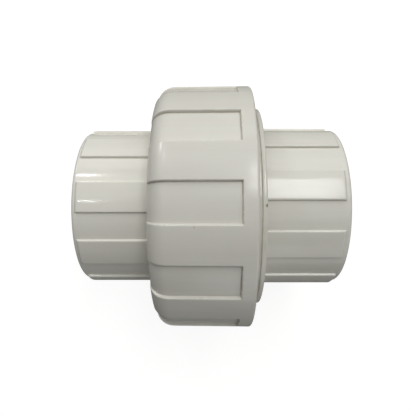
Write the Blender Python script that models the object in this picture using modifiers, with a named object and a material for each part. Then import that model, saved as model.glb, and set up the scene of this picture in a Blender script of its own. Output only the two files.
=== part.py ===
"""Plastic pipe union for solvent-welded pipe: a tail piece, a union nut that draws it up, a
threaded body and the O-ring between them.

The pipe axis is X, with the tail piece at -X and the threaded body at +X. The origin is on the
axis, midway between the two ends. Sizes are in millimetres and angles in degrees. An angle
about the axis is 0 at the top (+Z) and grows towards +Y.
"""

import math

import bmesh
import bpy
from mathutils import Vector

# Pipe and sockets
PIPE_DIAMETER = 60.3
PIPE_WALL = 3.65
SOCKET_DEPTH = 38.0
MOUTH_CLEARANCE = 0.15  # radial, at the mouth of the tapered socket
BOTTOM_INTERFERENCE = 0.05  # radial, where the pipe end wedges
MOUTH_CHAMFER = 1.0

# Lengths along the axis
TAIL_BORE_LENGTH = 10.1  # from the tail piece's pipe stop to its sealing face
BODY_BORE_LENGTH = 30.6  # from the body's sealing face to its pipe stop
FACE_GAP = 0.3  # between faces that touch when the union is tight
FLANGE_THICKNESS = 8.0
BARREL_LENGTH = 32.2
NUT_LENGTH = 42.7
LIP_THICKNESS = 6.0

# Walls and steps, all radial
TAIL_HUB_WALL = 6.2
BODY_HUB_WALL = 7.4
BEARING_STEP = 0.4  # the plain band that the nut's lip turns on
LIP_CLEARANCE = 0.5
FLANGE_STEP = 9.6
BARREL_STEP = 0.5  # barrel over flange
NUT_WALL = 6.2  # behind the pockets
POCKET_DEPTH = 1.4
NUT_DRAFT = 0.4  # how much smaller the nut is at its shoulder than at its rim

# Thread, right-handed
PITCH = 6.0
THREAD_HEIGHT = 2.4
THREAD_CLEARANCE = 0.6  # radial, crest to root
RIDGE_WIDTH = 2.5  # along the axis, at half height
FLANK_ANGLE = 15.0
BODY_THREAD_LEAD_IN = 4.7  # from the sealing face to the first ridge's middle
BODY_THREAD_RUNOUT = 4.8  # from the last ridge's middle to the end of the barrel
COLLAR_LENGTH = 1.9  # plain collar at the end of the barrel
RELIEF_LENGTH = 1.2  # groove between the thread's end and the collar
RELIEF_DEPTH = 1.6
NUT_THREAD_LENGTH = 18.0
BODY_THREAD_END = -38.0  # angle at which the last ridge stops
RIDGE_SINK = 0.3  # how deep a ridge is rooted in its wall
RIDGE_LEAD = 12.0  # angle over which a ridge rises to full height

# Grip ribs
NUT_LANDS = 11
NUT_LAND_ANGLE = 15.9
NUT_LAND_CENTRE = 19.5
RIM_LENGTH = 5.8  # plain rim right of the pockets
HUB_LANDS = 9
TAIL_LAND_ANGLE = 19.4
BODY_LAND_ANGLE = 18.8
RECESS_DEPTH = 1.1
TAIL_RING = 1.6  # length of the plain ring at the hub's outer end
BODY_RING = 2.3
RING_RELIEF = 0.1  # how much smaller that ring is than the recess floors
LAND_END_RUN = 0.8  # length of the slope from that ring up to a land
TAIL_LAND_CENTRE = 7.6
BODY_LAND_CENTRE = 15.4
BEARING_OVERHANG = 1.3  # how far the plain band reaches out past the nut
WALL_SLANT = 0.35  # a pocket wall's run for each unit of its height

# Rounding
SHOULDER_LENGTH = 8.0
SHOULDER_HEIGHT = 7.6
RIM_ROUND = 1.2
HUB_ROUND = 1.5
SMALL_CHAMFER = 0.6
CORNER_FILLET = 0.8

# O-ring and the grooves in the body's sealing face
CORD_DIAMETER = 4.6
CORD_GAP = 0.3
CORD_OFFSET = 6.5  # from the waterway's wall to the middle of the cord
SEAT_WALL = 4.0  # between the O-ring's groove and the coring groove
BARREL_WALL = 3.6  # outside the coring groove
CORING_DEPTH = 24.0

# Facets
NUT_FACETS = 66
HUB_FACETS = 54
RING_FACETS = 54
CORD_FACETS = 10
ARC_FACETS = 4
SECTOR_FACETS = 3
CUT_MARGIN = 3.0

MM = 0.001
WHITE_PVC = (0.72, 0.71, 0.68, 1.0)
BLACK_RUBBER = (0.02, 0.02, 0.02, 1.0)

# Radii that follow from the driving sizes
PIPE_R = PIPE_DIAMETER / 2
MOUTH_R = PIPE_R + MOUTH_CLEARANCE
BOTTOM_R = PIPE_R - BOTTOM_INTERFERENCE
WATERWAY_R = PIPE_R - PIPE_WALL
TAIL_HUB_R = MOUTH_R + TAIL_HUB_WALL
BODY_HUB_R = MOUTH_R + BODY_HUB_WALL
BEARING_R = TAIL_HUB_R + BEARING_STEP
LIP_HOLE_R = BEARING_R + LIP_CLEARANCE
FLANGE_R = BEARING_R + FLANGE_STEP
BARREL_R = FLANGE_R + BARREL_STEP
BODY_CREST_R = BARREL_R + THREAD_HEIGHT
NUT_CREST_R = BARREL_R + THREAD_CLEARANCE
NUT_BORE_R = BODY_CREST_R + THREAD_CLEARANCE
NUT_R = NUT_BORE_R + NUT_WALL + POCKET_DEPTH
CORD_R = CORD_DIAMETER / 2
CORD_MIDDLE_R = WATERWAY_R + CORD_OFFSET

# Places along the axis
LENGTH = 2 * SOCKET_DEPTH + TAIL_BORE_LENGTH + FACE_GAP + BODY_BORE_LENGTH
TAIL_END = -LENGTH / 2
TAIL_STOP = TAIL_END + SOCKET_DEPTH
TAIL_FACE = TAIL_STOP + TAIL_BORE_LENGTH
FLANGE_BACK = TAIL_FACE - FLANGE_THICKNESS
BODY_FACE = TAIL_FACE + FACE_GAP
BODY_STOP = BODY_FACE + BODY_BORE_LENGTH
BODY_END = BODY_STOP + SOCKET_DEPTH
BARREL_END = BODY_FACE + BARREL_LENGTH
LIP_BACK = FLANGE_BACK - FACE_GAP
NUT_LEFT = LIP_BACK - LIP_THICKNESS
NUT_RIGHT = NUT_LEFT + NUT_LENGTH
BODY_THREAD_LAST = BARREL_END - BODY_THREAD_RUNOUT
BODY_THREAD_LENGTH = BODY_THREAD_LAST - BODY_FACE - BODY_THREAD_LEAD_IN
NUT_THREAD_LAST = BODY_THREAD_LAST - PITCH / 2


def clear_scene():
    for obj in list(bpy.data.objects):
        bpy.data.objects.remove(obj, do_unlink=True)


def new_collection(name):
    collection = bpy.data.collections.new(name)
    bpy.context.scene.collection.children.link(collection)
    return collection


def new_material(name, colour, roughness):
    material = bpy.data.materials.new(name)
    material.use_nodes = True
    shader = material.node_tree.nodes["Principled BSDF"]
    shader.inputs["Base Color"].default_value = colour
    shader.inputs["Roughness"].default_value = roughness
    shader.inputs["Metallic"].default_value = 0.0
    return material


def at(x, radius, angle):
    """The point at this place along the axis, distance from it and angle about it."""
    turn = math.radians(angle)
    return Vector((x, radius * math.sin(turn), radius * math.cos(turn))) * MM


def quarter(start, end, bulge_at_start):
    """Points of a quarter ellipse between two (x, radius) points, without the first one.

    It leaves `start` along the axis, or squarely to it if bulge_at_start is set.
    """
    points = []
    for step in range(1, ARC_FACETS + 1):
        turn = math.pi / 2 * step / ARC_FACETS
        along, across = math.sin(turn), 1 - math.cos(turn)
        if bulge_at_start:
            along, across = across, along
        points.append((
            start[0] + (end[0] - start[0]) * along,
            start[1] + (end[1] - start[1]) * across,
        ))
    return points


def turned(name, profile, facets, collection):
    """A ring turned about the X axis from a closed loop of (x, radius) points."""
    following = profile[1:] + profile[:1]
    area = sum(a[0] * b[1] - b[0] * a[1] for a, b in zip(profile, following))
    points = profile if area > 0 else profile[::-1]
    mesh = bpy.data.meshes.new(name)
    count = len(points)
    edges = [(i, (i + 1) % count) for i in range(count)]
    mesh.from_pydata([at(x, radius, 0) for x, radius in points], edges, [])
    obj = bpy.data.objects.new(name, mesh)
    collection.objects.link(obj)
    screw = obj.modifiers.new("turn", "SCREW")
    screw.axis = "X"
    screw.steps = facets
    screw.render_steps = facets
    screw.use_merge_vertices = True
    screw.merge_threshold = 0.00001
    return obj


def strip_of_sections(bm, sections):
    """Joins equal-sized loops of points into one closed body with flat ends."""
    loops = [[bm.verts.new(point) for point in section] for section in sections]
    count = len(loops[0])
    for near, far in zip(loops, loops[1:]):
        for i in range(count):
            j = (i + 1) % count
            bm.faces.new((near[i], near[j], far[j], far[i]))
    bm.faces.new(loops[0][::-1])
    bm.faces.new(loops[-1])


def helper_object(name, bodies, collection):
    """A wire-drawn helper made of one or more closed bodies, each a list of sections."""
    bm = bmesh.new()
    for sections in bodies:
        strip_of_sections(bm, sections)
    bmesh.ops.recalc_face_normals(bm, faces=bm.faces)
    mesh = bpy.data.meshes.new(name)
    bm.to_mesh(mesh)
    bm.free()
    obj = bpy.data.objects.new(name, mesh)
    obj.hide_render = True
    obj.display_type = "WIRE"
    collection.objects.link(obj)
    return obj


def sector(floor, outer_r, centre, floor_angle):
    """Sections of a block from a floor of (x, radius) points out to outer_r, with slanted sides."""
    sections = []
    for x, floor_r in floor:
        spread = math.degrees(WALL_SLANT * (outer_r - floor_r) / outer_r)
        half = floor_angle / 2
        points = [
            at(x, floor_r, centre - half + floor_angle * step / SECTOR_FACETS)
            for step in range(SECTOR_FACETS + 1)
        ]
        points.append(at(x, outer_r, centre + half + spread))
        points.append(at(x, outer_r, centre - half - spread))
        sections.append(points)
    return sections


def recess_cutter(name, floor, top_r, depth, lands, land_angle, land_centre, collection):
    """All the recesses between a ring of lands: land_angle is a land's width at its top."""
    pitch = 360 / lands
    slant = math.degrees(WALL_SLANT * depth / top_r)
    floor_angle = pitch - land_angle - 2 * slant
    bodies = [
        sector(floor, top_r + CUT_MARGIN, land_centre + pitch * (i + 0.5), floor_angle)
        for i in range(lands)
    ]
    return helper_object(name, bodies, collection)


def ridge(name, wall_r, height, length, last_x, last_angle, facets, collection):
    """A right-handed helical ridge on a wall. A negative height points inwards."""
    turns = length / PITCH
    slope = math.tan(math.radians(FLANK_ANGLE))
    sink = math.copysign(RIDGE_SINK, height)
    count = round(turns * facets)
    sections = []
    for step in range(count + 1):
        angle = last_angle + 360 * turns * step / count
        x = last_x - PITCH * turns * step / count
        from_end = min(step, count - step) * 360 * turns / count
        rise = min(1.0, 0.25 + 0.75 * from_end / RIDGE_LEAD)
        top = height * rise
        half_root = RIDGE_WIDTH / 2 + slope * (abs(height) / 2 + RIDGE_SINK)
        half_top = RIDGE_WIDTH / 2 + slope * (abs(height) / 2 - abs(top))
        sections.append([
            at(x - half_root, wall_r - sink, angle),
            at(x - half_top, wall_r + top, angle),
            at(x + half_top, wall_r + top, angle),
            at(x + half_root, wall_r - sink, angle),
        ])
    return helper_object(name, [sections], collection)


def combine(obj, other, operation):
    boolean = obj.modifiers.new(operation.lower() + "_" + other.name, "BOOLEAN")
    boolean.operation = operation
    boolean.solver = "EXACT"
    boolean.object = other


def finish(obj, material):
    """Turns the modifiers into the final mesh and shades its round faces smooth."""
    graph = bpy.context.evaluated_depsgraph_get()
    mesh = bpy.data.meshes.new_from_object(obj.evaluated_get(graph))
    obj.modifiers.clear()
    obj.data = mesh
    mesh.name = obj.name
    mesh.materials.clear()
    mesh.materials.append(material)
    mesh.shade_smooth()
    mesh.set_sharp_from_angle(angle=math.radians(30))


def socket_profile(mouth_x, stop_x):
    """The tapered socket from the end face in to the pipe stop."""
    inward = math.copysign(1, stop_x - mouth_x)
    return [
        (mouth_x, MOUTH_R + MOUTH_CHAMFER),
        (mouth_x + inward * MOUTH_CHAMFER, MOUTH_R),
        (stop_x, BOTTOM_R),
        (stop_x, WATERWAY_R),
    ]


def hub_end(end_x, inward, radius, ring_length):
    """The hub's outside from its end face, along the plain ring and up to the lands."""
    ring_r = radius - RECESS_DEPTH - RING_RELIEF
    start = (end_x, ring_r - HUB_ROUND)
    side = (end_x + inward * HUB_ROUND, ring_r)
    foot = (end_x + inward * ring_length, ring_r)
    top = (foot[0] + inward * LAND_END_RUN, radius)
    return [start] + quarter(start, side, True) + [foot, top]


def make_tail_piece(parts, cutters):
    profile = socket_profile(TAIL_END, TAIL_STOP)[::-1]
    profile += hub_end(TAIL_END, 1, TAIL_HUB_R, TAIL_RING)
    band = NUT_LEFT - BEARING_OVERHANG
    profile += [
        (band - BEARING_STEP, TAIL_HUB_R),
        (band, BEARING_R),
        (FLANGE_BACK, BEARING_R),
        (FLANGE_BACK, FLANGE_R - SMALL_CHAMFER),
        (FLANGE_BACK + SMALL_CHAMFER, FLANGE_R),
        (TAIL_FACE - SMALL_CHAMFER, FLANGE_R),
        (TAIL_FACE, FLANGE_R - SMALL_CHAMFER),
        (TAIL_FACE, WATERWAY_R),
    ]
    tail = turned("tail_piece", profile, HUB_FACETS, parts)
    floor_r = TAIL_HUB_R - RECESS_DEPTH
    floor = [(TAIL_END - CUT_MARGIN, floor_r), (band - BEARING_STEP, floor_r)]
    recesses = recess_cutter(
        "tail_recesses", floor, TAIL_HUB_R, RECESS_DEPTH,
        HUB_LANDS, TAIL_LAND_ANGLE, TAIL_LAND_CENTRE, cutters,
    )
    combine(tail, recesses, "DIFFERENCE")
    return tail


def nut_outline():
    """The nut's outside from its left face to the end of the pockets."""
    start = (NUT_LEFT, NUT_R - SHOULDER_HEIGHT)
    shoulder_end = (NUT_LEFT + SHOULDER_LENGTH, NUT_R - NUT_DRAFT)
    pocket_end = (NUT_RIGHT - RIM_LENGTH, NUT_R)
    return [start] + quarter(start, shoulder_end, True) + [pocket_end]


def make_nut(parts, cutters):
    outline = nut_outline()
    rim_side = (NUT_RIGHT - RIM_ROUND, NUT_R)
    rim_face = (NUT_RIGHT, NUT_R - RIM_ROUND)
    profile = outline + [rim_side] + quarter(rim_side, rim_face, False)
    profile += [
        (NUT_RIGHT, NUT_BORE_R + 2 * SMALL_CHAMFER),
        (NUT_RIGHT - 2 * SMALL_CHAMFER, NUT_BORE_R),
        (LIP_BACK + CORNER_FILLET, NUT_BORE_R),
        (LIP_BACK, NUT_BORE_R - CORNER_FILLET),
        (LIP_BACK, LIP_HOLE_R + SMALL_CHAMFER),
        (LIP_BACK - SMALL_CHAMFER, LIP_HOLE_R),
        (NUT_LEFT + SMALL_CHAMFER, LIP_HOLE_R),
        (NUT_LEFT, LIP_HOLE_R + SMALL_CHAMFER),
    ]
    nut = turned("union_nut", profile, NUT_FACETS, parts)
    floor = [(x, radius - POCKET_DEPTH) for x, radius in outline]
    floor.insert(0, (NUT_LEFT - CUT_MARGIN, floor[0][1]))
    pockets = recess_cutter(
        "nut_pockets", floor, NUT_R, POCKET_DEPTH,
        NUT_LANDS, NUT_LAND_ANGLE, NUT_LAND_CENTRE, cutters,
    )
    combine(nut, pockets, "DIFFERENCE")
    thread = ridge(
        "nut_thread", NUT_BORE_R, NUT_CREST_R - NUT_BORE_R,
        NUT_THREAD_LENGTH, NUT_THREAD_LAST, BODY_THREAD_END, NUT_FACETS, cutters,
    )
    combine(nut, thread, "UNION")
    return nut


def sealing_face_profile():
    """The body's sealing face from the waterway out, with the O-ring's and the coring groove."""
    cord_in = CORD_MIDDLE_R - CORD_R - CORD_GAP
    cord_out = CORD_MIDDLE_R + CORD_R + CORD_GAP
    cord_floor = BODY_FACE + CORD_DIAMETER + CORD_GAP
    coring_in = cord_out + SEAT_WALL
    coring_out = BARREL_R - BARREL_WALL
    coring_floor = BODY_FACE + CORING_DEPTH
    return [
        (BODY_FACE, WATERWAY_R),
        (BODY_FACE, cord_in),
        (cord_floor, cord_in),
        (cord_floor, cord_out),
        (BODY_FACE, cord_out),
        (BODY_FACE, coring_in),
        (coring_floor, coring_in),
        (coring_floor, coring_out),
        (BODY_FACE, coring_out),
        (BODY_FACE, BARREL_R - SMALL_CHAMFER),
        (BODY_FACE + SMALL_CHAMFER, BARREL_R),
    ]


def make_threaded_body(parts, cutters):
    hub_corner = (BARREL_END, BODY_HUB_R + CORNER_FILLET)
    hub_start = (BARREL_END + CORNER_FILLET, BODY_HUB_R)
    collar_start = BARREL_END - COLLAR_LENGTH
    relief_start = collar_start - RELIEF_LENGTH
    profile = sealing_face_profile()
    profile += [
        (relief_start, BARREL_R),
        (relief_start, BARREL_R - RELIEF_DEPTH),
        (collar_start, BARREL_R - RELIEF_DEPTH),
        (collar_start, BARREL_R),
        (BARREL_END - SMALL_CHAMFER, BARREL_R),
        (BARREL_END, BARREL_R - SMALL_CHAMFER),
        hub_corner,
        hub_start,
    ]
    profile += hub_end(BODY_END, -1, BODY_HUB_R, BODY_RING)[::-1]
    profile += socket_profile(BODY_END, BODY_STOP)
    body = turned("threaded_body", profile, HUB_FACETS, parts)
    floor_r = BODY_HUB_R - RECESS_DEPTH
    floor = [(hub_start[0], floor_r), (BODY_END + CUT_MARGIN, floor_r)]
    recesses = recess_cutter(
        "body_recesses", floor, BODY_HUB_R, RECESS_DEPTH,
        HUB_LANDS, BODY_LAND_ANGLE, BODY_LAND_CENTRE, cutters,
    )
    combine(body, recesses, "DIFFERENCE")
    thread = ridge(
        "body_thread", BARREL_R, THREAD_HEIGHT,
        BODY_THREAD_LENGTH, BODY_THREAD_LAST, BODY_THREAD_END, HUB_FACETS, cutters,
    )
    combine(body, thread, "UNION")
    return body


def make_o_ring(parts):
    """The cord lies against the sealing face's plane, drawn at its squeezed height."""
    middle_x = BODY_FACE + CORD_R
    profile = [
        (
            middle_x + CORD_R * math.cos(math.tau * step / CORD_FACETS),
            CORD_MIDDLE_R + CORD_R * math.sin(math.tau * step / CORD_FACETS),
        )
        for step in range(CORD_FACETS)
    ]
    return turned("o_ring", profile, RING_FACETS, parts)


def main():
    clear_scene()
    parts = new_collection("pipe_union")
    cutters = new_collection("cutters")
    plastic = new_material("white_pvc", WHITE_PVC, 0.35)
    rubber = new_material("black_rubber", BLACK_RUBBER, 0.7)
    finish(make_tail_piece(parts, cutters), plastic)
    finish(make_nut(parts, cutters), plastic)
    finish(make_threaded_body(parts, cutters), plastic)
    finish(make_o_ring(parts), rubber)


main()
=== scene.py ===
# %% [markdown]
# # A plastic pipe union, built around its frame
#
# A union joins two pipes so that they can be parted again by hand. This one has a ribbed tail
# piece, a ribbed body with a thread, a big ribbed nut that pulls the two together, and an O-ring
# between their faces. The frame gives the plain pieces and how they move. This script builds
# the fine shapes and the white plastic over them, each piece exactly where its plain one is.

# %% Load the frame
import math

import bmesh
import bpy
from mathutils import Matrix, Vector


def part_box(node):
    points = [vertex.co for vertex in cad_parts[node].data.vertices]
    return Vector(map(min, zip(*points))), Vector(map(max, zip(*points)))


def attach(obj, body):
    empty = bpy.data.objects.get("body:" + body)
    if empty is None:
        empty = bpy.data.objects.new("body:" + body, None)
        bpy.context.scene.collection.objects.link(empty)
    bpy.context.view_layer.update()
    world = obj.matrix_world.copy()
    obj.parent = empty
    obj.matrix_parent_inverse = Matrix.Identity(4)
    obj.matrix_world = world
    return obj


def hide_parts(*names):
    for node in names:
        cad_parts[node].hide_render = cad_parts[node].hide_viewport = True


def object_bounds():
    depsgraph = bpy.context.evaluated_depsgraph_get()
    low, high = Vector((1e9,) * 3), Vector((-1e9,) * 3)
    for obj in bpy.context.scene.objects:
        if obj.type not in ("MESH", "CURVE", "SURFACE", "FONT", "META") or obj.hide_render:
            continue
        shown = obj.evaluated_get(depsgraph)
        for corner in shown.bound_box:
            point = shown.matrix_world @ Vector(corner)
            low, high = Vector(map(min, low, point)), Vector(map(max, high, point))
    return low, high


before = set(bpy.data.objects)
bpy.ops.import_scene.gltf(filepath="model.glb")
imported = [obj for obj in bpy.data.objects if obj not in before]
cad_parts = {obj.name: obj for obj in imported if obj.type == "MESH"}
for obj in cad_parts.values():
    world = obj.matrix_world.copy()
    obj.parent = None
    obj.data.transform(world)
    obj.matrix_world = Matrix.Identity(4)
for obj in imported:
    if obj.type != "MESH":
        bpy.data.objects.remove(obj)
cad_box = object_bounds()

MM = 0.001

# %% [markdown]
# ## Sizes
#
# Everything is turned about the X axis, so a piece's box gives its two ends along the axis and
# its largest radius. The rest of a profile is a matter of steps from those: how much larger a
# flange is than its hub, how deep a pocket goes. Working in millimetres keeps the numbers easy
# to read, and one factor turns them into metres where the mesh is made.

# %% Sizes read from the frame, in millimetres
def extent(node):
    """The piece's left end, right end and largest radius."""
    low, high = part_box(node)
    return low[0] / MM, high[0] / MM, high[2] / MM


TAIL_END, TAIL_FACE, FLANGE_R = extent("tail_piece")
NUT_LEFT, NUT_RIGHT, NUT_R = extent("union_nut")
BODY_FACE, BODY_END, BODY_CREST_R = extent("threaded_body")
CORD_LEFT, CORD_RIGHT, CORD_OUTER_R = extent("o_ring")
print(f"length {BODY_END - TAIL_END:.1f} mm, nut {2 * NUT_R:.1f} mm across")

# %% The steps that the boxes can't give, in millimetres
SOCKET_DEPTH = 38.0
MOUTH_R = 30.3
MOUTH_CHAMFER = 1.0
BOTTOM_R = 30.1
WATERWAY_R = 26.5
FACE_GAP = 0.3  # room between the O-ring and its groove

FLANGE_THICKNESS = 8.0
FLANGE_STEP = 9.6  # from the plain band up to the flange
BEARING_STEP = 0.4  # from the hub up to the plain band
LIP_THICKNESS = 6.0
LIP_CLEARANCE = 0.5
BARREL_STEP = 0.5
BARREL_LENGTH = 32.2
BODY_HUB_WALL = 7.4

BEARING_R = FLANGE_R - FLANGE_STEP
TAIL_HUB_R = BEARING_R - BEARING_STEP
BODY_HUB_R = MOUTH_R + BODY_HUB_WALL
LIP_HOLE_R = BEARING_R + LIP_CLEARANCE
BARREL_R = FLANGE_R + BARREL_STEP
BARREL_END = BODY_FACE + BARREL_LENGTH
LIP_BACK = NUT_LEFT + LIP_THICKNESS

PITCH = 6.0
THREAD_CLEARANCE = 0.6  # between a crest and the root that it runs in
THREAD_HEIGHT = BODY_CREST_R - BARREL_R
NUT_BORE_R = BODY_CREST_R + THREAD_CLEARANCE
NUT_CREST_R = BARREL_R + THREAD_CLEARANCE
print(f"hubs {2 * TAIL_HUB_R:.1f} and {2 * BODY_HUB_R:.1f} mm, bore {2 * WATERWAY_R:.1f} mm")

# %% [markdown]
# ## Turned outlines with rounded corners
#
# A moulded part has no sharp corner: each one has a small radius, and that radius is what
# catches the light. A Bevel modifier could round the edges, but it would cut a different width
# where ribs cross it. So each outline is a list of corners, each with its own radius, and the
# arcs are worked out before anything is turned. A point just outside each arc keeps the flats
# beside it flat when the surface is shaded smooth. An outline's corner is written as its place
# along X, its distance from the axis and the radius of its rounding.

# %% Rounding the corners of an outline
ARC_STEP = 18.0  # degrees of turn for each piece of an arc
SUPPORT = 0.45  # from the end of an arc to the point that keeps the flat flat
ROOM = 3.0  # a side shorter than this many roundings gets no such point


def corner_arc(before, corner, after, radius):
    """(x, radius, edge) points of the arc in one corner, with edge 1 on the arc itself."""
    toward = (corner - before).normalized()
    away = (after - corner).normalized()
    turn = toward.angle(away)
    reach = radius * math.tan(turn / 2)
    start = corner - toward * reach
    steps = max(2, math.ceil(math.degrees(turn) / ARC_STEP))
    side = 1 if toward.x * away.y - toward.y * away.x > 0 else -1
    centre = start + side * radius * Vector((-toward.y, toward.x))
    spoke = start - centre
    points = []
    for step in range(steps + 1):
        swing = side * turn * step / steps
        x = centre.x + spoke.x * math.cos(swing) - spoke.y * math.sin(swing)
        y = centre.y + spoke.x * math.sin(swing) + spoke.y * math.cos(swing)
        points.append((x, y, 1.0))
    taken = reach + SUPPORT
    first = corner - toward * taken
    last = corner + away * taken
    if (corner - before).length > ROOM * taken:
        points.insert(0, (first.x, first.y, 0.0))
    if (after - corner).length > ROOM * taken:
        points.append((last.x, last.y, 0.0))
    return points


def rounded(corners):
    """A closed outline from (x, radius, corner radius) values."""
    points = []
    count = len(corners)
    for i, (x, r, radius) in enumerate(corners):
        here = Vector((x, r))
        if radius == 0:
            points.append((x, r, 0.0))
            continue
        before = Vector(corners[i - 1][:2])
        after = Vector(corners[(i + 1) % count][:2])
        points += corner_arc(before, here, after, radius)
    return points


TOO_CLOSE = 0.01  # a station this near to a corner adds no point of its own


def with_stations(points, places, least_r):
    """Adds points at these places along X where the outline runs outside least_r."""
    result = []
    for here, there in zip(points, points[1:] + points[:1]):
        result.append(here)
        if min(here[1], there[1]) < least_r:
            continue
        low, high = sorted((here[0], there[0]))
        inside = sorted(x for x in places if low + TOO_CLOSE < x < high - TOO_CLOSE)
        if there[0] < here[0]:
            inside.reverse()
        for x in inside:
            share = (x - here[0]) / (there[0] - here[0])
            result.append((x, here[1] + (there[1] - here[1]) * share, 0.0))
    return result


print("a square corner of 1 mm radius takes", len(rounded([
    (0, 0, 0), (10, 0, 1), (10, 10, 0)])) - 2, "points")

# %% [markdown]
# ## Lands and recesses
#
# The hubs and the nut have raised lands with shallow recesses between them. They could be cut
# with a Boolean for each recess. Here the turned surface is pushed in instead: a recess is
# a share from 0 on a land to 1 on the recess floor, along the axis and round it, and the two
# shares multiply. The mesh has its rows exactly where the slanted walls start and end, so the
# walls are crisp with few faces. The same walk also says where edges and inner corners are,
# which the plastic uses later for wear, and for dirt with painted shade in the corners.

# %% The cross-section of a recess wall
WALL_SLANT = 0.2  # run of a wall for each millimetre that it drops
TOP_ROUND = 0.4
FOOT_ROUND = 0.12
ROUND_PIECES = 3


def rounding(radius, lean):
    """(run, drop) points of an arc that leaves a flat and turns down to a wall's lean."""
    turns = [lean * i / ROUND_PIECES for i in range(ROUND_PIECES + 1)]
    return [(radius * math.sin(turn), radius * (1 - math.cos(turn))) for turn in turns]


def wall_section(depth):
    """(run, share, edge, groove) from the land's last flat point to the floor's first one."""
    lean = math.atan(1 / WALL_SLANT)
    top = rounding(TOP_ROUND, lean)
    foot = rounding(FOOT_ROUND, lean)
    straight_drop = depth - top[-1][1] - foot[-1][1]
    foot_end = top[-1][0] + straight_drop * WALL_SLANT + foot[-1][0]
    section = [(run, drop, 1.0, 0.0) for run, drop in top]
    section += [(foot_end - run, depth - drop, 0.0, 1.0) for run, drop in reversed(foot)]
    return [(run, drop / depth, edge, groove) for run, drop, edge, groove in section]


print("a 1.4 mm deep wall runs", round(wall_section(1.4)[-1][0], 2), "mm")

# %% Recesses round the axis and along it
LIT_WALL_SHARE = 0.2  # share of the corner darkening kept on walls that face the lights; painted shade, as walls facing away keep all of it
ACROSS_FLAT = (-1.0, -0.5, 0.0, 0.5, 1.0)  # points of a flat, as shares of its half width


def ring_of_recesses(lands, land_angle, centre, depth, top_r):
    """(angle, share, edge, groove) all the way round, land by land."""
    wall = wall_section(depth)
    per_mm = math.degrees(1 / top_r)
    pitch = 360 / lands
    near = SUPPORT * per_mm
    half = land_angle / 2
    wall_angle = wall[-1][0] * per_mm
    floor_half = pitch / 2 - half - wall_angle
    turns = []
    for land in range(lands):
        middle = centre + land * pitch
        for share in ACROSS_FLAT:
            turns.append((middle + share * (half - near), 0.0, 0.0, 0.0))
        # Painted shade: this wall faces +Y, towards the lights, and keeps only a share of the
        # corner darkening, while the wall before the next land faces away and keeps all of it.
        for run, drop, edge, groove in wall:
            turns.append((middle + half + run * per_mm, drop, edge, groove * LIT_WALL_SHARE))
        for share in ACROSS_FLAT:
            turns.append((middle + pitch / 2 + share * (floor_half - near), 1.0, 0.0, 0.0))
        for run, drop, edge, groove in reversed(wall):
            turns.append((middle + pitch - half - run * per_mm, drop, edge, groove))
    return turns


def pocket_along(start, end, depth):
    """(x, share, edge, groove) stations of a recess that is open at its start."""
    wall = wall_section(depth)
    wall = [(-SUPPORT, 0.0, 0.0, 0.0)] + wall + [(wall[-1][0] + SUPPORT, 1.0, 0.0, 0.0)]
    last = [(end - run, drop, edge, groove) for run, drop, edge, groove in reversed(wall)]
    return [(start, 1.0, 0.0, 0.0)] + last


print("points round a ring of 9 lands:", len(ring_of_recesses(9, 19.0, 0.0, 1.1, 36.0)))


# %% Turning an outline into a ring, with its recesses
def between(x, stations, column):
    """A station's value at x, read along the straight line between its neighbours."""
    if x <= stations[0][0]:
        return stations[0][column]
    for here, there in zip(stations, stations[1:]):
        if x <= there[0]:
            share = (x - here[0]) / max(there[0] - here[0], 1e-9)
            return here[column] + (there[column] - here[column]) * share
    return 0.0


def plain_turns(count):
    """Evenly spaced angles for a ring with no recesses."""
    return [(360 * i / count, 0.0, 0.0, 0.0) for i in range(count)]


def turned_piece(name, outline, turns, stations=(), depth=0.0, least_r=0.0, floor_r=None):
    """A closed ring about X. Its recesses lie where the outline runs outside least_r.

    A recess follows the outline at its depth, or lies on floor_r if that is given.
    """
    points = with_stations(outline, [s[0] for s in stations], least_r)
    bm = bmesh.new()
    edge_layer = bm.verts.layers.float.new("edge")
    groove_layer = bm.verts.layers.float.new("groove")
    rows = []
    for x, r, arc in points:
        outside = r >= least_r and bool(stations)
        along, edge_x, groove_x = (
            [between(x, stations, column) for column in (1, 2, 3)] if outside else (0, 0, 0)
        )
        drop = depth if floor_r is None else max(0.0, r - floor_r)
        present = along * min(1.0, drop / depth) if outside else 0.0
        row = []
        for angle, share, edge, groove in turns:
            reach = (r - drop * along * share) * MM
            turn = math.radians(angle)
            vert = bm.verts.new((x * MM, reach * math.sin(turn), reach * math.cos(turn)))
            vert[edge_layer] = max(edge * present, edge_x * share, arc * (1 - share * present))
            vert[groove_layer] = max(groove * present, groove_x * share)
            row.append(vert)
        rows.append(row)
    count = len(turns)
    for near, far in zip(rows, rows[1:] + rows[:1]):
        for i in range(count):
            j = (i + 1) % count
            bm.faces.new((near[i], near[j], far[j], far[i]))
    bmesh.ops.recalc_face_normals(bm, faces=bm.faces)
    return object_from(bm, name)


def object_from(bm, name):
    """A smooth-shaded object with this mesh, in the scene."""
    mesh = bpy.data.meshes.new(name)
    bm.to_mesh(mesh)
    bm.free()
    mesh.shade_smooth()
    obj = bpy.data.objects.new(name, mesh)
    bpy.context.scene.collection.objects.link(obj)
    print(f"{name}: {len(mesh.vertices)} points, {len(mesh.polygons)} faces")
    return obj


# %% [markdown]
# ## Tail piece
#
# The smaller hub. A pipe is glued into its socket as far as the stop. Nine lands stiffen it and
# slope down to a plain ring at its end. Its plain band turns in the nut's lip, and the flange
# behind the band is what the nut pulls on. The flange's right face is flat, because it seals.
# It could be a cylinder with nine blocks joined on, but then the lands would meet it in seams.
# Turning one outline, socket and all, gives one closed surface whose rows suit the light.

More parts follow.
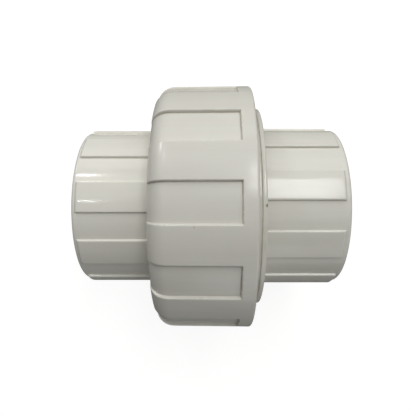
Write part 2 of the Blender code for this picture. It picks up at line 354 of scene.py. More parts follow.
# %% Make the tail piece
HUB_LANDS = 9
TAIL_LAND_ANGLE = 19.4
TAIL_LAND_CENTRE = 7.6
HUB_RECESS = 1.1
TAIL_RING = 1.6  # length of the plain ring at the hub's end
LAND_END_RUN = 0.8  # length of the slope that a land ends in
LAND_END_ROUND = 0.8
HUB_ROUND = 1.5
BAND_SHOWS = 1.3  # length of the plain band that is left outside the nut
RECESS_STOP = 0.3  # from the recesses' end to the foot of the band
STEEP = 0.04  # length of a wall that stands square
BAND_START = NUT_LEFT - BAND_SHOWS
TAIL_FLOOR_R = TAIL_HUB_R - HUB_RECESS
TAIL_RECESS_END = BAND_START - BEARING_STEP - RECESS_STOP

tail_outline = rounded([
    (TAIL_END, TAIL_FLOOR_R, HUB_ROUND),
    (TAIL_END + TAIL_RING, TAIL_FLOOR_R, 0.0),
    (TAIL_END + TAIL_RING + LAND_END_RUN, TAIL_HUB_R, LAND_END_ROUND),
    (BAND_START - BEARING_STEP, TAIL_HUB_R, 0.5),
    (BAND_START, BEARING_R, 0.4),
    (TAIL_FACE - FLANGE_THICKNESS, BEARING_R, 0.25),
    (TAIL_FACE - FLANGE_THICKNESS, FLANGE_R, 0.7),
    (TAIL_FACE, FLANGE_R, 0.7),
    (TAIL_FACE, WATERWAY_R, 0.5),
    (TAIL_END + SOCKET_DEPTH, WATERWAY_R, 0.4),
    (TAIL_END + SOCKET_DEPTH, BOTTOM_R, 0.5),
    (TAIL_END + MOUTH_CHAMFER, MOUTH_R, 0.5),
    (TAIL_END, MOUTH_R + MOUTH_CHAMFER, 0.3),
])
tail_piece = turned_piece(
    "tail_piece_moulded",
    tail_outline,
    ring_of_recesses(HUB_LANDS, TAIL_LAND_ANGLE, TAIL_LAND_CENTRE, HUB_RECESS, TAIL_HUB_R),
    [
        (TAIL_END, 1.0, 0.0, 0.0),
        (TAIL_RECESS_END - STEEP, 1.0, 0.0, 0.0),
        (TAIL_RECESS_END, 0.0, 0.0, 0.0),
    ],
    depth=HUB_RECESS,
    least_r=TAIL_FLOOR_R,
    floor_r=TAIL_FLOOR_R,
)

# %% [markdown]
# ## Threads
#
# The thread is a ridge with slanted flanks that climbs a pitch for each turn. A Screw modifier
# can sweep such a ridge, but it leaves the two ends open and square. Here the ridge is swept
# by its own rule, so that it can start low, rise over a few degrees and end in a rounded nose,
# as a moulded thread does. A Boolean then makes it one solid with its wall.

# %% Where the two threads run
THREAD_END_ANGLE = -38.0  # where both threads end, in degrees round from the top
THREAD_RUNOUT = 4.8  # from the middle of the thread's end to the hub
THREAD_LEAD_IN = 4.7  # from the sealing face to the middle of its start
BODY_THREAD_LAST = BARREL_END - THREAD_RUNOUT
NUT_THREAD_LAST = BODY_THREAD_LAST - PITCH / 2
BODY_THREAD_TURNS = (BODY_THREAD_LAST - BODY_FACE - THREAD_LEAD_IN) / PITCH
NUT_THREAD_TURNS = 3.0
print(f"{BODY_THREAD_TURNS:.2f} turns on the body, {NUT_THREAD_TURNS:.2f} in the nut")

# %% The ridge's section
FLANK_ANGLE = 15.0
RIDGE_WIDTH = 2.5
RIDGE_SINK = 0.3  # how far the ridge's root lies inside the wall
RIDGE_START = 0.3  # share of its height that it has at its very end
RIDGE_LEAD = 10.0  # degrees that it takes to rise to the rest
CREST_ROUND = 0.35
LOW_ROUND = 0.6  # the most that the rounding takes of a low ridge's height
# The crest's corner as shares of its rounding: along the flank, inwards and down.
CREST_CORNER = ((1.0, 0.0, 1.0), (0.4, 0.1, 0.3), (0.0, 0.45, 0.06), (0.0, 1.0, 0.0))


def ridge_section(height, rise):
    """(along the axis, out from the wall) points of the ridge, with rounded crest corners."""
    slope = math.tan(math.radians(FLANK_ANGLE))
    top = height * rise
    half_root = RIDGE_WIDTH / 2 + slope * (height / 2 + RIDGE_SINK)
    half_top = RIDGE_WIDTH / 2 + slope * (height / 2 - top)
    cut = min(CREST_ROUND, LOW_ROUND * top)
    side = [(half_root, -RIDGE_SINK)] + [
        (half_top + slope * cut * along - inward * cut, top - down * cut)
        for along, inward, down in CREST_CORNER
    ]
    return [(-x, up) for x, up in side] + side[::-1]


def ridge_rise(from_end):
    """How far the ridge has risen, from the angle to its nearer end."""
    share = math.sin(math.pi / 2 * min(1.0, from_end / RIDGE_LEAD))
    return RIDGE_START + (1 - RIDGE_START) * share


print("points in the ridge's section:", len(ridge_section(THREAD_HEIGHT, ridge_rise(90))))

# %% Sweep the ridge and unite it with its wall
RIDGE_STEP = 3.0  # degrees
SHARP_ANGLE = 50.0  # a steeper fold than this is shaded as an edge


def helical_ridge(name, wall_r, height, outward, turns, last_x):
    """A ridge on a wall, outward 1 or inward -1, that ends at last_x."""
    steps = round(turns * 360 / RIDGE_STEP)
    bm = bmesh.new()
    loops = []
    for step in range(steps + 1):
        swept = step * 360 * turns / steps
        rise = ridge_rise(min(swept, 360 * turns - swept))
        x = last_x - PITCH * swept / 360
        turn = math.radians(THREAD_END_ANGLE + swept)
        loop = []
        for along, up in ridge_section(height, rise):
            reach = wall_r + outward * up
            place = (x + along, reach * math.sin(turn), reach * math.cos(turn))
            loop.append(bm.verts.new(Vector(place) * MM))
        loops.append(loop)
    count = len(loops[0])
    for near, far in zip(loops, loops[1:]):
        for i in range(count):
            j = (i + 1) % count
            bm.faces.new((near[i], near[j], far[j], far[i]))
    bm.faces.new(loops[0])
    bm.faces.new(loops[-1])
    bmesh.ops.recalc_face_normals(bm, faces=bm.faces)
    return object_from(bm, name)


def unite(piece, ridge):
    """Makes the ridge one solid with its piece and drops the loose one."""
    join = piece.modifiers.new("join_thread", "BOOLEAN")
    join.operation = "UNION"
    join.solver = "EXACT"
    join.object = ridge
    graph = bpy.context.evaluated_depsgraph_get()
    mesh = bpy.data.meshes.new_from_object(piece.evaluated_get(graph))
    piece.modifiers.clear()
    piece.data = mesh
    bpy.data.objects.remove(ridge, do_unlink=True)
    mesh.set_sharp_from_angle(angle=math.radians(SHARP_ANGLE))
    print(f"{piece.name} with its thread: {len(mesh.polygons)} faces")


# %% [markdown]
# ## Union nut
#
# The nut is what a hand or a strap wrench turns. Its lands are nearly as wide as its pockets, the
# pockets run out over the round left shoulder, and a plain rim closes them on the right. Inside
# are the lip that turns on the tail piece's band, a smooth chamber for the flange and the
# thread. An array of cutters could take the pockets out of a ring, but their floors have to
# follow the shoulder. Pushing the turned surface in by one depth all along does just that.

# %% Make the union nut
NUT_LANDS = 11
NUT_LAND_ANGLE = 15.5
NUT_LAND_CENTRE = 19.5
POCKET_DEPTH = 1.4
RIM_LENGTH = 5.8
SHOULDER_LENGTH = 8.0
SHOULDER_HEIGHT = 7.6
RIM_ROUND = 1.2
THREAD_MOUTH = 1.2  # chamfer where the thread's bore opens
DRAFT = 0.4  # how much smaller the nut is at its shoulder, to leave the mould
ARC_PIECES = 9
SHOULDER_R = NUT_R - SHOULDER_HEIGHT
LEFT_FACE_R = SHOULDER_R - 4.0  # any place on the flat left face
POCKET_LEAST_R = SHOULDER_R - 0.1  # the pockets end at the shoulder's foot


def quarter(start, end, leaves_squarely):
    """A quarter ellipse between two (x, radius) places, both included.

    It leaves the first at a right angle to the axis, or else along it.
    """
    points = []
    for step in range(ARC_PIECES + 1):
        turn = math.pi / 2 * step / ARC_PIECES
        along, across = math.sin(turn), 1 - math.cos(turn)
        if leaves_squarely:
            along, across = across, along
        x = start[0] + (end[0] - start[0]) * along
        r = start[1] + (end[1] - start[1]) * across
        points.append((x, r, 0.0))
    return points


shoulder_end = (NUT_LEFT + SHOULDER_LENGTH, NUT_R - DRAFT)
rim_start = (NUT_RIGHT - RIM_ROUND, NUT_R)
nut_outside = (
    [(NUT_LEFT, LEFT_FACE_R, 0.0)]
    + quarter((NUT_LEFT, SHOULDER_R), shoulder_end, True)
    + quarter(rim_start, (NUT_RIGHT, NUT_R - RIM_ROUND), False)
)
nut_inside = rounded([
    (NUT_RIGHT, NUT_R - RIM_ROUND, 0),
    (NUT_RIGHT, NUT_BORE_R + THREAD_MOUTH, 0.4),
    (NUT_RIGHT - THREAD_MOUTH, NUT_BORE_R, 0.4),
    (LIP_BACK, NUT_BORE_R, 0.8),
    (LIP_BACK, LIP_HOLE_R, 0.6),
    (NUT_LEFT, LIP_HOLE_R, 0.6),
    (NUT_LEFT, LEFT_FACE_R, 0),
])[1:-1]
union_nut = turned_piece(
    "union_nut_moulded",
    nut_outside + nut_inside,
    ring_of_recesses(NUT_LANDS, NUT_LAND_ANGLE, NUT_LAND_CENTRE, POCKET_DEPTH, NUT_R),
    pocket_along(NUT_LEFT, NUT_RIGHT - RIM_LENGTH, POCKET_DEPTH),
    depth=POCKET_DEPTH,
    least_r=POCKET_LEAST_R,
)
unite(union_nut, helical_ridge(
    "nut_thread", NUT_BORE_R, NUT_BORE_R - NUT_CREST_R, -1, NUT_THREAD_TURNS, NUT_THREAD_LAST))

# %% [markdown]
# ## Threaded body
#
# The larger hub, with a barrel that carries the thread. A relief groove and a narrow collar
# stand between the thread and the hub. The sealing face at the left end has a groove for the
# O-ring and a deeper coring groove, which keeps the wall one thickness so that the moulding
# doesn't sink as it cools. Hub and barrel could be two pieces pushed together, but in one
# outline the corner between them has its small radius and nothing overlaps.

# %% Make the threaded body
BODY_LAND_ANGLE = 18.8
BODY_LAND_CENTRE = 15.4
BODY_FLOOR_R = BODY_HUB_R - HUB_RECESS
BODY_RING = 2.3
COLLAR_LENGTH = 1.9
COLLAR_START = BARREL_END - COLLAR_LENGTH
RELIEF_LENGTH = 1.2
RELIEF_DEPTH = 1.2
CORD_D = CORD_RIGHT - CORD_LEFT
CORD_MIDDLE_R = CORD_OUTER_R - CORD_D / 2
GROOVE_IN = CORD_MIDDLE_R - CORD_D / 2 - FACE_GAP
GROOVE_OUT = CORD_MIDDLE_R + CORD_D / 2 + FACE_GAP
GROOVE_FLOOR = BODY_FACE + CORD_D + FACE_GAP
GROOVE_WALL = 4.0
BARREL_WALL = 3.6
CORING_DEPTH = 24.0
CORING_IN = GROOVE_OUT + GROOVE_WALL
CORING_OUT = BARREL_R - BARREL_WALL
CORING_FLOOR = BODY_FACE + CORING_DEPTH

body_outline = rounded([
    (BODY_FACE, WATERWAY_R, 0.5),
    (BODY_FACE, GROOVE_IN, 0.3),
    (GROOVE_FLOOR, GROOVE_IN, 0.6),
    (GROOVE_FLOOR, GROOVE_OUT, 0.6),
    (BODY_FACE, GROOVE_OUT, 0.3),
    (BODY_FACE, CORING_IN, 0.5),
    (CORING_FLOOR, CORING_IN, 0.8),
    (CORING_FLOOR, CORING_OUT, 0.8),
    (BODY_FACE, CORING_OUT, 0.5),
    (BODY_FACE, BARREL_R, 0.7),
    (COLLAR_START - RELIEF_LENGTH, BARREL_R, 0.15),
    (COLLAR_START - RELIEF_LENGTH, BARREL_R - RELIEF_DEPTH, 0.3),
    (COLLAR_START, BARREL_R - RELIEF_DEPTH, 0.15),
    (COLLAR_START, BARREL_R, 0.3),
    (BARREL_END, BARREL_R, 0.7),
    (BARREL_END, BODY_HUB_R, 0.8),
    (BODY_END - BODY_RING - LAND_END_RUN, BODY_HUB_R, 0.35),
    (BODY_END - BODY_RING, BODY_FLOOR_R, 0.3),
    (BODY_END, BODY_FLOOR_R, HUB_ROUND),
    (BODY_END, MOUTH_R + MOUTH_CHAMFER, 0.3),
    (BODY_END - MOUTH_CHAMFER, MOUTH_R, 0.5),
    (BODY_END - SOCKET_DEPTH, BOTTOM_R, 0.5),
    (BODY_END - SOCKET_DEPTH, WATERWAY_R, 0.4),
])
threaded_body = turned_piece(
    "threaded_body_moulded",
    body_outline,
    ring_of_recesses(HUB_LANDS, BODY_LAND_ANGLE, BODY_LAND_CENTRE, HUB_RECESS, BODY_HUB_R),
    [
        (BARREL_END + STEEP, 0.0, 0.0, 0.0),
        (BARREL_END + 2 * STEEP, 1.0, 0.0, 0.0),
        (BODY_END, 1.0, 0.0, 0.0),
    ],
    depth=HUB_RECESS,
    least_r=BODY_FLOOR_R,
    floor_r=BODY_FLOOR_R,
)
unite(threaded_body, helical_ridge(
    "body_thread", BARREL_R, THREAD_HEIGHT, 1, BODY_THREAD_TURNS, BODY_THREAD_LAST))

# %% [markdown]
# ## O-ring
#
# A rubber cord bent into a ring and squeezed in its groove. A torus would do, but a squeezed
# cord is flatter where it meets the face and the groove's floor, so its section is a rounded
# square between a circle and a box.

# %% Make the O-ring
CORD_POINTS = 28
CORD_STEPS = 180
SQUEEZE = 2.4  # 2 is a circle, and more is squarer


def squeezed(angle):
    """One point of the cord's section, as shares of its half width."""
    flat = 2 / SQUEEZE
    along = math.copysign(abs(math.cos(angle)) ** flat, math.cos(angle))
    across = math.copysign(abs(math.sin(angle)) ** flat, math.sin(angle))
    return along, across


cord_outline = []
for i in range(CORD_POINTS):
    along, across = squeezed(math.tau * i / CORD_POINTS)
    x = CORD_LEFT + CORD_D / 2 * (1 + along)
    cord_outline.append((x, CORD_MIDDLE_R + CORD_D / 2 * across, 0.0))
o_ring = turned_piece("o_ring_rubber", cord_outline, plain_turns(CORD_STEPS))

# %% [markdown]
# ## The finish: white PVC
#
# Moulded PVC looks plain, but it is never one flat colour. The melt leaves faint marks along the
# way it flowed, the skin has a shallow orange peel, handling rubs the edges and leaves hairline
# scuffs, and dust and painted shade darken the inner corners. Each of these is a node group
# with its own inputs, so that the three white pieces and the rubber can share them with
# different values.
# One noise over the colour would be quicker, but each mark has its own scale, direction and
# place. The groups give masks and heights only, and the shader stays in each material.

# %% A small helper for writing node groups
SOCKET_TYPES = {"value": "NodeSocketFloat", "vector": "NodeSocketVector"}


class Effect:
    """A shader node group with named inputs and outputs, built step by step."""

    def __init__(self, name, inputs, outputs):
        self.tree = bpy.data.node_groups.new(name, "ShaderNodeTree")
        for label, (kind, value) in inputs.items():
            socket = self.tree.interface.new_socket(
                label, in_out="INPUT", socket_type=SOCKET_TYPES[kind])
            socket.default_value = value
        for label, kind in outputs.items():
            self.tree.interface.new_socket(
                label, in_out="OUTPUT", socket_type=SOCKET_TYPES[kind])
        self.start = self.tree.nodes.new("NodeGroupInput")
        self.end = self.tree.nodes.new("NodeGroupOutput")

    def give(self, label, socket):
        """Sends a value out of the group under this name."""
        self.tree.links.new(socket, self.end.inputs[label])


print("kinds of socket:", ", ".join(SOCKET_TYPES))


# %% The few nodes that the effects are made of
def connect(tree, value, socket):
    """Links a socket, or sets a plain value."""
    if isinstance(value, bpy.types.NodeSocket):
        tree.links.new(value, socket)
    else:
        socket.default_value = value


def maths(tree, operation, *values):
    """One Math node on sockets or plain values."""
    node = tree.nodes.new("ShaderNodeMath")
    node.operation = operation
    for value, socket in zip(values, node.inputs):
        connect(tree, value, socket)
    return node.outputs[0]


def remap(tree, value, low, high, to_low=0.0, to_high=1.0):
    """Spreads low..high of a value over to_low..to_high, smoothly and without overshoot."""
    node = tree.nodes.new("ShaderNodeMapRange")
    node.interpolation_type = "SMOOTHSTEP"
    for name, number in (
        ("Value", value), ("From Min", low), ("From Max", high),
        ("To Min", to_low), ("To Max", to_high),
    ):
        connect(tree, number, node.inputs[name])
    return node.outputs["Result"]


def place_on_piece(tree, stretch=(1, 1, 1)):
    """The point's place on its own piece in metres, stretched along the axes."""
    where = tree.nodes.new("ShaderNodeTexCoord")
    mapping = tree.nodes.new("ShaderNodeMapping")
    mapping.inputs["Scale"].default_value = stretch
    tree.links.new(where.outputs["Object"], mapping.inputs["Vector"])
    return mapping.outputs["Vector"]


NOISE_ROUGHNESS = 0.55


def noise(tree, vector, scale, detail=3.0):
    """Cloudy values round 0.5, with about `scale` lumps to a metre."""
    node = tree.nodes.new("ShaderNodeTexNoise")
    node.inputs["Scale"].default_value = scale
    node.inputs["Detail"].default_value = detail
    node.inputs["Roughness"].default_value = NOISE_ROUGHNESS
    tree.links.new(vector, node.inputs["Vector"])
    return node.outputs["Fac"]


def painted(tree, name):
    """A value that was written on the mesh's points while it was built."""
    node = tree.nodes.new("ShaderNodeAttribute")
    node.attribute_name = name
    return node.outputs["Fac"]


# %% Moulded skin: a slow waviness from shrinking and a fine orange peel
skin = Effect(
    "moulded_skin", {"Waviness": ("value", 1.0), "Peel": ("value", 1.0)}, {"Height": "value"})
tree = skin.tree
PEEL_HEIGHT = 0.08  # as a share of the waviness
slow = noise(tree, place_on_piece(tree, (0.6, 1, 1)), scale=70.0, detail=2.0)
peel = noise(tree, place_on_piece(tree), scale=1100.0, detail=2.0)
wave = maths(tree, "MULTIPLY", slow, skin.start.outputs["Waviness"])
fine = maths(tree, "MULTIPLY", peel, skin.start.outputs["Peel"])
skin.give("Height", maths(tree, "ADD", wave, maths(tree, "MULTIPLY", fine, PEEL_HEIGHT)))
print("effect:", skin.tree.name)

# %% Flow marks: long soft streaks along the way the melt ran
flow = Effect("flow_marks", {"Contrast": ("value", 1.0)}, {"Mask": "value"})
tree = flow.tree
STREAK_SHARE = 0.45
streak = noise(tree, place_on_piece(tree, (0.07, 1, 1)), scale=420.0)
cloud = noise(tree, place_on_piece(tree), scale=38.0)
streak = maths(tree, "MULTIPLY", streak, STREAK_SHARE)
cloud = maths(tree, "MULTIPLY", cloud, 1 - STREAK_SHARE)
mixed = remap(tree, maths(tree, "ADD", streak, cloud), low=0.36, high=0.64)
flow.give("Mask", maths(tree, "MULTIPLY", mixed, flow.start.outputs["Contrast"]))
print("effect:", flow.tree.name)

# %% Rubbed edges, broken up so that the rubbing looks like use and not like a line
rub = Effect("rubbed_edges", {"Amount": ("value", 1.0)}, {"Mask": "value"})
tree = rub.tree
patchy = noise(tree, place_on_piece(tree, (0.5, 1, 1)), scale=300.0, detail=4.0)
patches = remap(tree, patchy, low=0.38, high=0.62)
worn = maths(tree, "MULTIPLY", painted(tree, "edge"), patches)
rub.give("Mask", maths(tree, "MULTIPLY", worn, rub.start.outputs["Amount"]))
print("effect:", rub.tree.name)

# %% Dust and painted shade in the inner corners
dust_and_shade = Effect("corner_dust_and_shade", {"Amount": ("value", 1.0)}, {"Mask": "value"})
tree = dust_and_shade.tree
corner_noise = noise(tree, place_on_piece(tree, (0.3, 1, 1)), scale=180.0, detail=4.0)
corner_patches = remap(tree, corner_noise, low=0.3, high=0.7, to_low=0.45)
# Painted shade with dust: darkens the feet of the recess walls, most where they face away from the
# lights.
dust_and_shade_in_corners = maths(tree, "MULTIPLY", painted(tree, "groove"), corner_patches)
dust_and_shade.give("Mask", maths(tree, "MULTIPLY", dust_and_shade_in_corners, dust_and_shade.start.outputs["Amount"]))
print("effect:", dust_and_shade.tree.name)

# %% [markdown]
# ### Marks that have a place or a direction
#
# Specks, a stain and scuffs are single marks, not an all-over texture. They could be painted by
# hand on an unwrapped mesh, but paint blurs close up. A Voronoi texture gives each point the
# nearest of many scattered centres, so a spot round a few of them is a speck of any sharpness.
# Distance to one chosen place is a stain, and a hairline is where a stretched noise passes its
# middle value.

# %% Specks: a few cells of a cell pattern get a tiny dark spot at their middle
specks = Effect(
    "specks", {"Cells": ("value", 160.0), "Share": ("value", 0.04)}, {"Mask": "value"})
tree = specks.tree
cells = tree.nodes.new("ShaderNodeTexVoronoi")
tree.links.new(place_on_piece(tree), cells.inputs["Vector"])
tree.links.new(specks.start.outputs["Cells"], cells.inputs["Scale"])
chosen = tree.nodes.new("ShaderNodeSeparateColor")
tree.links.new(cells.outputs["Color"], chosen.inputs["Color"])
FAINTEST = 0.35  # strength of the palest speck, where the darkest has 1
spot = remap(tree, cells.outputs["Distance"], low=0.03, high=0.09, to_low=1.0, to_high=0.0)
kept = maths(tree, "LESS_THAN", chosen.outputs["Red"], specks.start.outputs["Share"])
varied = maths(tree, "MULTIPLY", chosen.outputs["Green"], 1 - FAINTEST)
strength = maths(tree, "ADD", FAINTEST, varied)
specks.give("Mask", maths(tree, "MULTIPLY", maths(tree, "MULTIPLY", spot, kept), strength))
print("effect:", specks.tree.name)

# %% A stain: one small spot of dirt at a chosen place, with a ragged edge
stain = Effect(
    "stain", {"Place": ("vector", (0, 0, 0)), "Size": ("value", 0.001)}, {"Mask": "value"})
tree = stain.tree
away = tree.nodes.new("ShaderNodeVectorMath")
away.operation = "DISTANCE"
tree.links.new(place_on_piece(tree), away.inputs[0])
tree.links.new(stain.start.outputs["Place"], away.inputs[1])
LEAST_REACH = 0.35  # of the stain's size
RAGGEDNESS = 1.3
ragged = maths(tree, "MULTIPLY", noise(tree, place_on_piece(tree), scale=2500.0), RAGGEDNESS)
ragged = maths(tree, "ADD", LEAST_REACH, ragged)
reach = maths(tree, "MULTIPLY", stain.start.outputs["Size"], ragged)
share = maths(tree, "DIVIDE", away.outputs["Value"], reach)
stain.give("Mask", remap(tree, share, low=0.4, high=1.0, to_low=1.0, to_high=0.0))
print("effect:", stain.tree.name)

# %% Hairline scuffs: thin bands of stretched noise, kept only in a few patches
scuffs = Effect("hairline_scuffs", {"Amount": ("value", 1.0)}, {"Mask": "value"})
tree = scuffs.tree
HAIRLINE = 0.006  # how far from its middle value the noise still draws the line


def hairlines(stretch, scale):
    """The thin line where a stretched noise crosses its middle value."""
    value = noise(tree, place_on_piece(tree, stretch), scale, detail=1.0)
    off_middle = maths(tree, "ABSOLUTE", maths(tree, "SUBTRACT", value, 0.5))
    return remap(tree, off_middle, low=0.0, high=HAIRLINE, to_low=1.0, to_high=0.0)


along = hairlines((0.05, 1, 1), scale=240.0)
around = hairlines((1, 0.05, 0.05), scale=300.0)
patch = remap(tree, noise(tree, place_on_piece(tree), scale=60.0), low=0.55, high=0.68)
lines = maths(tree, "MULTIPLY", maths(tree, "MAXIMUM", along, around), patch)
scuffs.give("Mask", maths(tree, "MULTIPLY", lines, scuffs.start.outputs["Amount"]))
print("effect:", scuffs.tree.name)

# %% [markdown]
# ## Putting a finish together
#
# A finish is a base colour with each effect laid over it in turn: first what is in the plastic,
# then what is on it. The same masks change the roughness, because a scuff that only changes
# colour looks printed. A number that is the same all over is set on the shader itself.

# %% Helpers for a finish
def placed(tree, effect, **values):
    """One use of an effect in a material, with its own values."""
    node = tree.nodes.new("ShaderNodeGroup")
    node.node_tree = effect.tree
    for label, value in values.items():
        node.inputs[label].default_value = value
    return node.outputs[0]


def laid_over(tree, mask, below, above, strength=1.0):
    """Mixes a colour over another where the mask says, up to a strength."""
    node = tree.nodes.new("ShaderNodeMix")
    node.data_type = "RGBA"
    connect(tree, maths(tree, "MULTIPLY", mask, strength), node.inputs["Factor"])
    connect(tree, below, node.inputs["A"])
    connect(tree, above, node.inputs["B"])
    return node.outputs["Result"]


def relief(tree, shader, height, depth):
    """Turns a height into a surface normal, with the depth in metres."""
    bump = tree.nodes.new("ShaderNodeBump")
    bump.inputs["Distance"].default_value = depth
    tree.links.new(height, bump.inputs["Height"])
    tree.links.new(bump.outputs["Normal"], shader.inputs["Normal"])


def new_finish(name):
    """A new material, its node tree and its shader."""
    material = bpy.data.materials.new(name)
    material.use_nodes = True
    return material, material.node_tree, material.node_tree.nodes["Principled BSDF"]


# %% White PVC, for all three moulded pieces
WHITE = (0.80, 0.79, 0.715, 1)
WARMER = (0.76, 0.735, 0.655, 1)
RUBBED = (0.86, 0.86, 0.80, 1)
SCUFF_GREY = (0.50, 0.49, 0.45, 1)
# colour of the dust and painted shade in the inner corners
DUST_AND_SHADE = (0.33, 0.28, 0.20, 1)
SPECK_BROWN = (0.24, 0.13, 0.06, 1)
STAIN_RUST = (0.33, 0.14, 0.05, 1)
STAIN_SIZE = 1.0  # millimetres
PVC_IOR = 1.53
FLOW_GLOSS = 0.04  # how much rougher the skin is where it flowed
SKIN_DEPTH = 0.00012


def shade_of(colour, whiteness):
    return [channel * whiteness for channel in colour[:3]] + [1]


def white_pvc(name, whiteness, skin_roughness, scuffing, dust_and_shade_amount, peel, stain_at=None):
    """skin_roughness is that of the clean skin. A stain's place is in millimetres."""
    material, tree, shader = new_finish(name)
    shader.inputs["IOR"].default_value = PVC_IOR
    flowed = placed(tree, flow)
    rubbed = placed(tree, rub, Amount=1.0)
    dust_and_shade_mask = placed(tree, dust_and_shade, Amount=dust_and_shade_amount)
    spotted = placed(tree, specks)
    scuffed = placed(tree, scuffs, Amount=scuffing)
    layers = [
        (flowed, shade_of(WARMER, whiteness), 0.5),
        (rubbed, RUBBED, 0.35),
        (scuffed, SCUFF_GREY, 0.3),
        # dust and painted shade at the feet of the recess walls
        (dust_and_shade_mask, DUST_AND_SHADE, 0.6),
        (spotted, SPECK_BROWN, 0.7),
    ]
    if stain_at:
        stained = placed(tree, stain, Place=Vector(stain_at) * MM, Size=STAIN_SIZE * MM)
        layers.append((stained, STAIN_RUST, 0.85))
    colour = shade_of(WHITE, whiteness)
    for mask, above, strength in layers:
        colour = laid_over(tree, mask, colour, above, strength)
    tree.links.new(colour, shader.inputs["Base Color"])
    roughness = maths(
        tree, "ADD", skin_roughness, maths(tree, "MULTIPLY", flowed, FLOW_GLOSS))
    for mask, change in ((rubbed, 0.08), (scuffed, 0.2), (dust_and_shade_mask, 0.3)):
        roughness = maths(tree, "ADD", roughness, maths(tree, "MULTIPLY", mask, change))
    tree.links.new(roughness, shader.inputs["Roughness"])
    height = placed(tree, skin, Waviness=1.0, Peel=peel)
    relief(tree, shader, height, SKIN_DEPTH)
    print(f"{name}: roughness {skin_roughness}, {len(tree.nodes)} nodes")
    return material


tail_white = white_pvc(
    "tail_white_pvc", whiteness=1.09, skin_roughness=0.10, scuffing=0.7, dust_and_shade_amount=0.4, peel=0.3)
nut_white = white_pvc(
    "nut_white_pvc", whiteness=0.98, skin_roughness=0.19, scuffing=1.0, dust_and_shade_amount=1.0, peel=0.5,
    stain_at=(-19.7, -4.2, 56.2))
body_white = white_pvc(
    "body_white_pvc", whiteness=1.01, skin_roughness=0.12, scuffing=0.8, dust_and_shade_amount=0.8, peel=0.3,
    stain_at=(22.0, 1.6, 47.0))

# %% [markdown]
# ## Black rubber
#
# EPDM rubber is matt and slightly grey. Where it has been handled a pale bloom sits on it, and
# it holds specks of dust. Both could have groups of their own, but the flow marks in another
# colour look like bloom, and pale specks look like dust, so each group serves both finishes.

# %% Rubber for the O-ring
RUBBER_BLACK = (0.018, 0.018, 0.019, 1)
BLOOM = (0.07, 0.07, 0.075, 1)
DUST_SPOT = (0.35, 0.33, 0.3, 1)
RUBBER_ROUGHNESS = 0.55
RUBBER_DEPTH = 0.00015


def black_rubber(name):
    material, tree, shader = new_finish(name)
    shader.inputs["Specular IOR Level"].default_value = 0.4
    bloom = placed(tree, flow, Contrast=1.0)
    spotted = placed(tree, specks, Cells=420.0, Share=0.12)
    colour = laid_over(tree, bloom, RUBBER_BLACK, BLOOM, 0.6)
    colour = laid_over(tree, spotted, colour, DUST_SPOT, 0.6)
    tree.links.new(colour, shader.inputs["Base Color"])
    roughness = maths(tree, "ADD", RUBBER_ROUGHNESS, maths(tree, "MULTIPLY", bloom, 0.2))
    tree.links.new(roughness, shader.inputs["Roughness"])
    relief(tree, shader, placed(tree, skin, Waviness=0.4, Peel=2.0), RUBBER_DEPTH)
    print(f"{name}: {len(tree.nodes)} nodes")
    return material


rubber = black_rubber("epdm_rubber")

# %% [markdown]
# ## Where each piece belongs
#
# Every piece rides on its body and stands for one plain solid. Each one hangs from an empty for
# its body in Blender's own parenting, takes its material and hides the plain solid that it
# replaces. One table holds all four, so that nothing is forgotten.

# %% Ride, replace and give each piece its material
ASSIGNMENTS = (
    (tail_piece, "tail_piece", "tail_piece", "tail_pvc", tail_white),
    (union_nut, "union_nut", "union_nut", "nut_pvc", nut_white),
    (threaded_body, "threaded_body", "threaded_body", "body_pvc", body_white),
    (o_ring, "threaded_body", "o_ring", "seal_rubber", rubber),
)
for piece, body, node, slot, material in ASSIGNMENTS:
    piece.data.materials.clear()
    piece.data.materials.append(material)
    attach(piece, body)
    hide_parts(node)
    print(f"{piece.name} rides on {body} and replaces {node}")

# %% [markdown]
# ## Floor and camera
#
# The union lies on a pale floor and the camera looks straight down at it from close by, so the
# nut spreads over its neighbours as it does to the eye. A white floor would throw light up under
# the piece and wash out its shaded side. So the floor shines only for the camera, which keeps it
# white with a trace of shadow, and gives a grey floor's light to everything else.

# %% Floor
FLOOR_SIZE = 4.0
FLOOR_DROP = 0.0002  # below the lowest point, so that the two never share a plane
FLOOR_GREY = (0.32, 0.32, 0.31, 1)
FIBRE_GREY = (0.30, 0.30, 0.29, 1)
FLOOR_GLOW = 0.86


def floor_paper():
    """Matt grey paper that looks white to the camera alone."""
    material, tree, shader = new_finish("floor_paper")
    fibre = noise(tree, place_on_piece(tree), scale=900.0, detail=2.0)
    shade = laid_over(tree, fibre, FLOOR_GREY, FIBRE_GREY)
    tree.links.new(shade, shader.inputs["Base Color"])
    shader.inputs["Roughness"].default_value = 0.95
    shader.inputs["Specular IOR Level"].default_value = 0.0
    shader.inputs["Emission Color"].default_value = (1, 1, 1, 1)
    path = tree.nodes.new("ShaderNodeLightPath")
    glow = maths(tree, "MULTIPLY", path.outputs["Is Camera Ray"], FLOOR_GLOW)
    tree.links.new(glow, shader.inputs["Emission Strength"])
    return material


floor_mesh = bpy.data.meshes.new("floor")
bm = bmesh.new()
bmesh.ops.create_grid(bm, x_segments=1, y_segments=1, size=FLOOR_SIZE / 2)
bm.to_mesh(floor_mesh)
bm.free()
floor = bpy.data.objects.new("floor", floor_mesh)
floor.location.z = cad_box[0][2] - FLOOR_DROP
bpy.context.scene.collection.objects.link(floor)
floor_mesh.materials.append(floor_paper())
print(f"floor at {floor.location.z / MM:.1f} mm")

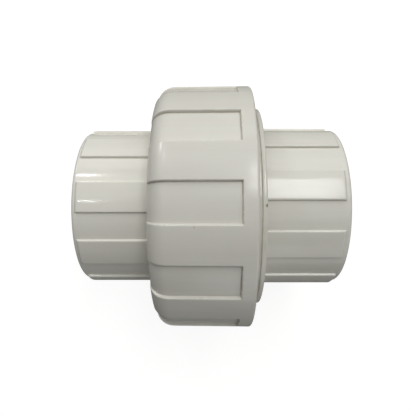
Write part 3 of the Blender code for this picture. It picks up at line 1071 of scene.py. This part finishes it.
# %% Camera
SENSOR = 36.0
FOCAL_SHARE = 424 / 416  # focal length as a share of the frame's width
CAMERA_SHIFT = (-0.0077, -0.0457)
CAMERA_HEIGHT = 0.2113
CAMERA_ASIDE = 0.0080  # towards +Y from the axis
camera_data = bpy.data.cameras.new("camera")
camera_data.sensor_width = SENSOR
camera_data.lens = SENSOR * FOCAL_SHARE
camera_data.shift_x, camera_data.shift_y = CAMERA_SHIFT
camera_data.clip_start = 0.01
camera = bpy.data.objects.new("camera", camera_data)
camera.location = (0.0, CAMERA_ASIDE, CAMERA_HEIGHT)
bpy.context.scene.collection.objects.link(camera)
bpy.context.scene.camera = camera
print(f"camera {CAMERA_HEIGHT / MM:.0f} mm above the axis, lens {camera_data.lens:.1f} mm")

# %% [markdown]
# ## Lights
#
# Three kinds of light do the work. A wide window wall, made of strips from overhead down to the
# +Y side, shades the round pieces from bright to grey, and a weak card lightens the other side.
# A bright panel above the body draws the long highlight on its glossy land. Small lamps on the
# tail's side draw the thin streaks on its hub and on the nut's shoulder. The world gives almost
# no light, but the camera sees it pale, like the floor. One big sky light would be simpler, but
# gloss shows the shape of what it mirrors, so each highlight gets a lamp of its own shape.

# %% A panel of light
def direction_to(along, tilt):
    """A unit vector leaning `along` times its height towards +X, tilted so far from up to +Y."""
    lean = math.radians(tilt)
    return Vector((along, math.sin(lean), math.cos(lean))).normalized()


def panel(name, direction, distance, size, radiance):
    """A flat lamp facing the origin. Its power follows from its area and its radiance."""
    data = bpy.data.lights.new(name, "AREA")
    data.shape = "RECTANGLE"
    data.size, data.size_y = size
    data.energy = radiance * math.pi * size[0] * size[1]
    light = bpy.data.objects.new(name, data)
    light.location = direction * distance
    side = (Vector((1, 0, 0)) - direction * direction.x).normalized()
    light.rotation_euler = Matrix((side, direction.cross(side), direction)).transposed().to_euler()
    bpy.context.scene.collection.objects.link(light)
    print(f"{name}: {data.energy:.2f} W")


# %% Lights
STRIP = (3.2, 1.0)
CARD = (2.0, 1.0)
CEILING = (0.27, 0.52)
LAMP = (0.07, 0.02)
FAR, NEAR = 1.4, 1.2  # metres from the union
for name, along, tilt, distance, size, radiance in (
    ("overhead", 0.0, 0.0, FAR, STRIP, 0.32),
    ("window_high", 0.0, 30.0, FAR, STRIP, 0.46),
    ("window_middle", 0.0, 56.0, FAR, STRIP, 0.62),
    ("window_low", 0.0, 78.0, FAR, STRIP, 0.78),
    ("fill_card", 0.6, -75.0, FAR, CARD, 0.75),
    ("ceiling_panel", 0.231, 26.0, NEAR, CEILING, 6.0),
    ("lamp_low", -0.335, 47.5, NEAR, LAMP, 70.0),
    ("lamp_high", -0.335, 8.0, NEAR, LAMP, 35.0),
    ("lamp_side", -0.632, 60.6, NEAR, LAMP, 150.0),
):
    panel(name, direction_to(along, tilt), distance, size, radiance)

# %% World
WORLD_LIGHT = 0.03
WORLD_GLOW = 0.87
world = bpy.data.worlds.new("studio")
world.use_nodes = True
tree = world.node_tree
path = tree.nodes.new("ShaderNodeLightPath")
glow = maths(tree, "MULTIPLY", path.outputs["Is Camera Ray"], WORLD_GLOW)
background = tree.nodes["Background"]
background.inputs["Color"].default_value = (1, 1, 1, 1)
tree.links.new(maths(tree, "ADD", glow, WORLD_LIGHT), background.inputs["Strength"])
bpy.context.scene.world = world
bpy.context.scene.view_settings.view_transform = "Standard"
print(f"world: light {WORLD_LIGHT}, seen by the camera as {WORLD_LIGHT + WORLD_GLOW:.2f}")
